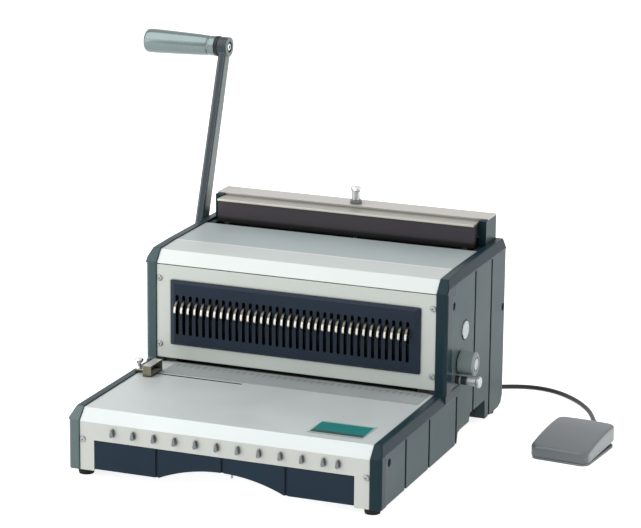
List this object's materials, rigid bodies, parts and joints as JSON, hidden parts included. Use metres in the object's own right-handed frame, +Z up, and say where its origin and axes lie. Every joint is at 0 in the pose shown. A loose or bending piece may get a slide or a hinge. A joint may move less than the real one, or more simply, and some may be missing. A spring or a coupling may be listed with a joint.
{
  "type": "wire binding machine",
  "caption": "Desktop wire binding machine: motor-driven punch with a foot pedal, comb of hooks for the wire, waste drawer, and a hand lever that closes the wire.",
  "frame": {"origin": "bottom centre of the box round the machine and its pedal, without the pedal cord, coil and plug", "axes": "+X to the operator's right, +Y from the front of the base to the rear cover, +Z up from the table"},
  "size_m": [0.6522, 0.5233, 0.4263],
  "materials": {
    "plate_steel": "satin dark blue-grey paint on thick steel",
    "band_navy": "satin navy paint",
    "panel_grey": "satin grey-green paint",
    "screw_zinc": "zinc plated",
    "sheet_silver": "light warm silver paint",
    "scale_grey": "matt grey strip",
    "plate_teal": "bare teal plate",
    "peg_dark": "black oxide",
    "plate_navy": "satin dark navy paint",
    "steel_bare": "turned steel",
    "steel_zinc": "zinc plated steel",
    "nickel": "bright nickel plate",
    "knob_grey": "moulded grey",
    "chrome": "polished chrome plate",
    "tool_steel": "ground tool steel",
    "spring_steel": "spring wire",
    "bronze": "sintered bronze",
    "motor_grey": "grey paint",
    "drawer_dark": "dark navy paint",
    "tray_steel": "grey sheet steel",
    "rubber_black": "black rubber",
    "plastic_black": "black",
    "board_green": "circuit board",
    "arm_blue_grey": "satin blue-grey paint",
    "ring_black": "black",
    "grip_silver": "fluted silver-grey",
    "bar_dark": "dark brown anodised",
    "champagne": "champagne silver, lightly brushed",
    "brass": "turned",
    "guide_dark": "dark",
    "pedal_grey": "textured grey plastic",
    "cord_black": "black PVC"
  },
  "bodies": {
    "frame": {"closer_anvil": "steel_zinc", "closer_cover": "champagne", "closer_end_caps": "band_navy", "comb_plate": "plate_navy", "control_board": "board_green", "cover_screws": "screw_zinc", "cross_beams": "steel_zinc", "die_block": "tool_steel", "die_support": "steel_zinc", "feet": "rubber_black", "front_deck": "sheet_silver", "gear_motor": "motor_grey", "guide_rods": "steel_bare", "mains_inlet": "plastic_black", "name_plate": "plate_teal", "pedal_base": "plastic_black", "pedal_cord": "cord_black", "pedal_cord_coil": "cord_black", "pedal_gland": "rubber_black", "pedal_plug": "cord_black", "pedal_socket": "plastic_black", "pedal_sole": "rubber_black", "pedal_switch": "plastic_black", "punch_guide": "tool_steel", "ram_springs": "spring_steel", "rear_chassis": "panel_grey", "scale_plate": "scale_grey", "shaft_bushes": "bronze", "side_bands": "band_navy", "side_panels": "panel_grey", "side_plates": "plate_steel", "stop_locknut": "peg_dark", "tower_front_plate": "sheet_silver", "tower_top_cover": "sheet_silver", "wire_pegs": "peg_dark"},
    "drawer": {"drawer_front": "drawer_dark", "drawer_tray": "tray_steel"},
    "guide": {"edge_guide": "guide_dark"},
    "guide_screw": {"guide_clamp": "knob_grey"},
    "hooks": {"hook_bar": "steel_bare", "wire_hooks": "nickel"},
    "dial": {"height_dial": "knob_grey"},
    "depth_stop": {"depth_stop_bar": "steel_zinc"},
    "depth_knob": {"depth_knob": "chrome"},
    "ram": {"punch_ram": "steel_bare", "punches": "tool_steel"},
    "cam": {"cam_shaft": "steel_bare", "drive_gear": "steel_bare"},
    "pinion": {"motor_pinion": "steel_bare"},
    "lever": {"lever_arm": "arm_blue_grey", "grip_pin": "ring_black", "closer_shaft": "steel_bare"},
    "grip": {"lever_grip": "grip_silver"},
    "closer": {"press_bar": "bar_dark", "press_strip": "champagne", "closer_legs": "steel_zinc"},
    "stop_screw": {"stop_knob": "chrome"},
    "stop": {"stop_nut": "brass"},
    "rocker": {"switch_rocker": "plastic_black"},
    "treadle": {"pedal_treadle": "pedal_grey"}
  },
  "joints": [
    {"name": "drawer_slide", "type": "slide", "parent": "frame", "child": "drawer", "axis": [0, -1, 0], "range_m": [0, 0.22]},
    {"name": "edge_guide_slide", "type": "slide", "parent": "frame", "child": "guide", "axis": [1, 0, 0], "range_m": [0, 0.095]},
    {"name": "guide_clamp_turn", "type": "hinge", "parent": "guide", "child": "guide_screw", "pos_m": [-0.20196, -0.07225, 0.088], "axis": [0, 0, 1], "range_deg": [-90, 180]},
    {"name": "dial_turn", "type": "hinge", "parent": "frame", "child": "dial", "pos_m": [0.16144, 0.02575, 0.105], "axis": [1, 0, 0], "range_deg": [0, 81.86]},
    {"name": "hooks_slide", "type": "slide", "parent": "frame", "child": "hooks", "axis": [0, 0, -1], "range_m": [0, 0.03]},
    {"name": "depth_knob_turn", "type": "hinge", "parent": "frame", "child": "depth_knob", "pos_m": [0.16144, 0.00975, 0.089], "axis": [1, 0, 0], "range_deg": [-180.01, 0]},
    {"name": "depth_stop_slide", "type": "slide", "parent": "frame", "child": "depth_stop", "axis": [0, 1, 0], "range_m": [0, 0.004]},
    {"name": "cam_turn", "type": "hinge", "parent": "frame", "child": "cam", "pos_m": [-0.02656, 0.04175, 0.14], "axis": [1, 0, 0], "range_deg": [0, 180]},
    {"name": "ram_slide", "type": "slide", "parent": "frame", "child": "ram", "axis": [0, 0, -1], "range_m": [0, 0.008], "deforming": ["ram_springs"]},
    {"name": "pinion_turn", "type": "hinge", "parent": "frame", "child": "pinion", "pos_m": [-0.18156, 0.087, 0.09474], "axis": [1, 0, 0], "range_deg": [-540, 0]},
    {"name": "lever_pull", "type": "hinge", "parent": "frame", "child": "lever", "pos_m": [-0.22656, 0.13975, 0.17], "axis": [1, 0, 0], "range_deg": [0, 75]},
    {"name": "grip_spin", "type": "hinge", "parent": "lever", "child": "grip", "pos_m": [-0.24656, 0.22335, 0.41143], "axis": [1, 0, 0], "continuous": true},
    {"name": "closer_slide", "type": "slide", "parent": "frame", "child": "closer", "axis": [0, 0, -1], "range_m": [0, 0.02192]},
    {"name": "stop_knob_turn", "type": "hinge", "parent": "frame", "child": "stop_screw", "pos_m": [-0.02456, 0.16875, 0.2445], "axis": [0, 0, 1], "range_deg": [0, 1440.1]},
    {"name": "stop_nut_slide", "type": "slide", "parent": "frame", "child": "stop", "axis": [0, 0, 1], "range_m": [0, 0.006]},
    {"name": "rocker_tilt", "type": "hinge", "parent": "frame", "child": "rocker", "pos_m": [-0.09656, 0.18575, 0.04], "axis": [1, 0, 0], "range_deg": [-16, 0]},
    {"name": "treadle_press", "type": "hinge", "parent": "frame", "child": "treadle", "pos_m": [0.28398, 0.03388, 0.0075], "axis": [-0.9962, 0.0872, 0], "range_deg": [0, 2.5], "stiffness_Nm_per_rad": 4, "springref_deg": -2.86}
  ],
  "couplings": [
    {"joint": "dial_turn", "follows": "hooks_slide", "rad_per_m": 47.619},
    {"joint": "depth_knob_turn", "follows": "depth_stop_slide", "rad_per_m": -785.4},
    {"joint": "ram_slide", "follows": "cam_turn", "m_per_rad": 0.0025465},
    {"joint": "pinion_turn", "follows": "cam_turn", "ratio": -3},
    {"joint": "closer_slide", "follows": "lever_pull", "m_per_rad": 0.016742},
    {"joint": "stop_knob_turn", "follows": "stop_nut_slide", "rad_per_m": 4188.8}
  ]
}
